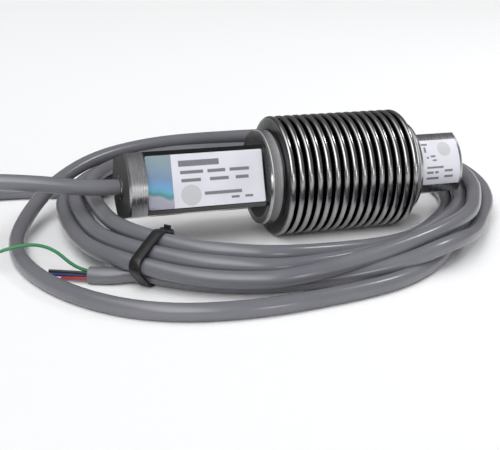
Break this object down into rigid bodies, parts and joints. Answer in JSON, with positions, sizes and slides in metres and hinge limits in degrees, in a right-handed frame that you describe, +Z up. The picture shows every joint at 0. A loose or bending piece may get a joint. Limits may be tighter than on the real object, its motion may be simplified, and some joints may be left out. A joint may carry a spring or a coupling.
{
  "type": "weighing load cell",
  "caption": "Bending-beam weighing load cell: a stainless bar with bolt holes, its measuring beam sealed in a metal bellows, with its cable wound into a tied coil around it.",
  "frame": {"origin": "under the middle of the cell, on the surface that the bellows and the cable coil lie on", "axes": "+X along the beam from the cable end to the load end, +Z up from the surface, -Y towards the label side; the cell lies rolled by 19 degrees about +X, so the axis of its bolt holes and its load direction lean from +Z towards +Y by that angle"},
  "size_m": [0.235, 0.1593, 0.042],
  "materials": {
    "body_steel": "ground and polished stainless steel",
    "bellows_steel": "bright formed stainless sheet",
    "ring_steel": "turned stainless steel",
    "gland_steel": "turned stainless steel",
    "gland_rubber": "black moulded rubber",
    "potting": "dark cast resin",
    "lead_insulation": "thin wire insulation",
    "circuit_board": "green solder-masked laminate",
    "chip_ceramic": "black chip",
    "gauge_film": "amber carrier film with metal foil",
    "jumper_copper": "enamelled copper",
    "label_film": "pale satin label film",
    "hologram_foil": "shifting blue-grey foil",
    "cable_jacket": "smooth mid-grey extruded jacket",
    "tie_nylon": "black moulded nylon",
    "wire_green": "green insulation",
    "wire_red": "red insulation",
    "wire_blue": "blue insulation",
    "wire_black": "black insulation"
  },
  "bodies": {
    "root": {"measuring_body": "body_steel", "bellows": "bellows_steel", "end_ring_fixed": "ring_steel", "end_ring_load": "ring_steel", "gland_sleeve": "gland_steel", "gland_grommet": "gland_rubber", "potting_plug": "potting", "signal_leads": "lead_insulation", "terminal_board": "circuit_board", "trim_resistor_upper": "chip_ceramic", "trim_resistor_lower": "chip_ceramic", "type_label": "label_film", "hologram_foil": "hologram_foil", "load_end_label": "label_film", "cable_lead": "cable_jacket", "cable_coil": "cable_jacket", "cable_outer_loop": "cable_jacket", "cable_tail": "cable_jacket", "cable_tie": "tie_nylon", "strain_gauge_top_fixed": "gauge_film", "strain_gauge_bottom_fixed": "gauge_film", "strain_gauge_top_load": "gauge_film", "strain_gauge_bottom_load": "gauge_film", "gauge_jumper_top_fixed": "jumper_copper", "gauge_jumper_bottom_fixed": "jumper_copper", "gauge_jumper_top_load": "jumper_copper", "gauge_jumper_bottom_load": "jumper_copper", "core_wire_green": "wire_green", "core_wire_red": "wire_red", "core_wire_blue": "wire_blue", "core_wire_black": "wire_black"}
  },
  "joints": []
}
